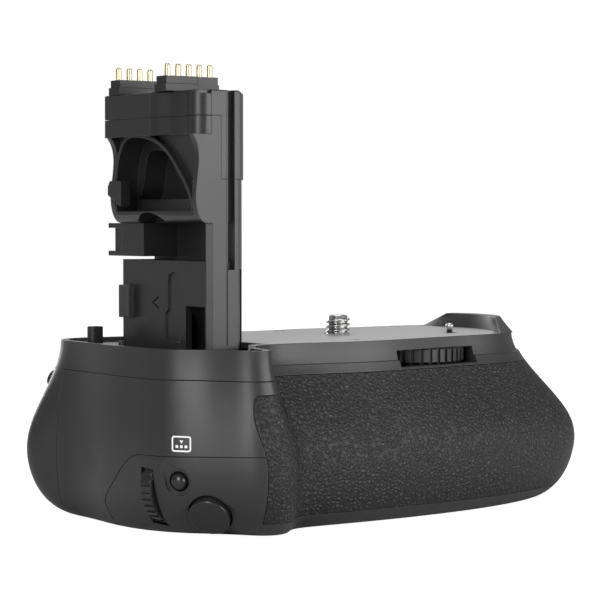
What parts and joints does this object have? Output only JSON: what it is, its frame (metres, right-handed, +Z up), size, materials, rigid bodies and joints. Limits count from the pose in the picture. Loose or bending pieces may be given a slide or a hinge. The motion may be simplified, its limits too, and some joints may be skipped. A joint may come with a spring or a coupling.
{
  "type": "camera battery grip",
  "caption": "Vertical battery grip that screws under a digital camera: a tower with sprung pins fills its battery chamber, a magazine slides out of the end, and it has its own shutter controls.",
  "frame": {"origin": "the camera screw's axis on the seating plane, which is the top of the light plate", "axes": "+X runs to the end that the battery magazine slides out of, +Y to the rear face with the power lever, +Z up to the camera"},
  "size_m": [0.1405, 0.0815, 0.1093],
  "materials": {
    "shell": "fine textured black plastic",
    "panel": "fine textured black plastic",
    "leather": "pebbled soft rubber",
    "plate": "light grey gloss plastic",
    "tower": "satin black plastic",
    "dark": "satin black plastic",
    "button": "semi-gloss black plastic",
    "steel": "turned steel",
    "dark_steel": "blackened steel",
    "gold": "gold plated",
    "copper": "plated spring contact",
    "board": "green circuit board",
    "seal": "soft seal",
    "pad": "textured pad",
    "switch": "moulded switch bodies"
  },
  "bodies": {
    "grip": {"front_shell": "shell", "rear_shell": "shell", "base_cover": "shell", "tripod_socket": "steel", "base_screws": "dark_steel", "grip_collar": "shell", "control_panel": "panel", "grip_rubber_nose": "leather", "grip_rubber_front": "leather", "top_plate": "plate", "top_plate_screws": "plate", "locating_pin": "steel", "seat_peg": "dark", "guide_stud": "dark", "dial_axle": "steel", "gear_carrier": "dark", "tower_frame": "tower", "tower_cap": "tower", "tower_board": "board", "tower_pad": "pad", "tower_leaf": "dark_steel", "door_clip": "tower", "tower_screws": "dark_steel", "connector_block_rear": "dark", "connector_block_front": "dark", "button_housings": "dark", "button_switches": "switch", "main_dial_axle": "steel", "dial_bracket": "dark", "battery_chamber": "dark", "chamber_contacts": "copper", "main_board": "board"},
    "screw": {"camera_screw": "steel", "screw_gear": "steel"},
    "dial": {"locking_dial": "dark"},
    "wheel": {"main_dial": "button"},
    "shutter": {"shutter_button": "button"},
    "function": {"function_button": "button"},
    "rear_a": {"rear_button_a": "button"},
    "rear_b": {"rear_button_b": "button"},
    "rear_c": {"rear_button_c": "button"},
    "pins_rear": {"contact_pins_rear": "gold"},
    "pins_front": {"contact_pins_front": "gold"},
    "lever": {"power_lever": "button"},
    "magazine": {"magazine_tray": "dark", "magazine_seal": "seal", "magazine_cover": "shell", "magazine_contacts": "gold"},
    "magazine_lock": {"magazine_knob": "button", "magazine_latch": "steel"}
  },
  "joints": [
    {"name": "shutter_press", "type": "slide", "parent": "grip", "child": "shutter", "axis": [0.6564, 0.5172, 0.5492], "range_m": [0, 0.0008], "stiffness_N_per_m": 600, "springref_m": -0.001},
    {"name": "function_press", "type": "slide", "parent": "grip", "child": "function", "axis": [0.8356, 0.5304, 0.1428], "range_m": [0, 0.0008], "stiffness_N_per_m": 600, "springref_m": -0.001},
    {"name": "rear_a_press", "type": "slide", "parent": "grip", "child": "rear_a", "axis": [0.4936, -0.7932, -0.3566], "range_m": [0, 0.0008], "stiffness_N_per_m": 600, "springref_m": -0.001},
    {"name": "rear_b_press", "type": "slide", "parent": "grip", "child": "rear_b", "axis": [-0.1039, -0.9818, -0.1587], "range_m": [0, 0.0008], "stiffness_N_per_m": 600, "springref_m": -0.001},
    {"name": "rear_c_press", "type": "slide", "parent": "grip", "child": "rear_c", "axis": [-0.1224, -0.9814, -0.1482], "range_m": [0, 0.0008], "stiffness_N_per_m": 600, "springref_m": -0.001},
    {"name": "pins_rear_press", "type": "slide", "parent": "grip", "child": "pins_rear", "axis": [0, 0, -1], "range_m": [0, 0.001], "stiffness_N_per_m": 500, "springref_m": -0.001},
    {"name": "pins_front_press", "type": "slide", "parent": "grip", "child": "pins_front", "axis": [0, 0, -1], "range_m": [0, 0.001], "stiffness_N_per_m": 500, "springref_m": -0.001},
    {"name": "dial_turn", "type": "hinge", "parent": "grip", "child": "dial", "pos_m": [0.00971, -0.01662, -0.005], "axis": [0, 0, 1], "continuous": true},
    {"name": "screw_turn", "type": "hinge", "parent": "grip", "child": "screw", "pos_m": [0, 0, 0], "axis": [0, 0, 1], "continuous": true},
    {"name": "wheel_turn", "type": "hinge", "parent": "grip", "child": "wheel", "pos_m": [-0.06437, -0.02315, -0.03254], "axis": [0.1721, -0.9851, 0], "continuous": true},
    {"name": "lever_turn", "type": "hinge", "parent": "grip", "child": "lever", "pos_m": [-0.019, 0.02398, -0.0086], "axis": [0.0629, 0.9864, 0.152], "range_deg": [0, 35]},
    {"name": "magazine_slide", "type": "slide", "parent": "grip", "child": "magazine", "axis": [1, 0, 0], "range_m": [0, 0.12]},
    {"name": "magazine_lock_turn", "type": "hinge", "parent": "magazine", "child": "magazine_lock", "pos_m": [0.0612, 0.002, -0.025], "axis": [1, 0, 0], "range_deg": [0, 90]}
  ],
  "couplings": [
    {"joint": "screw_turn", "follows": "dial_turn", "ratio": -1.6667}
  ]
}
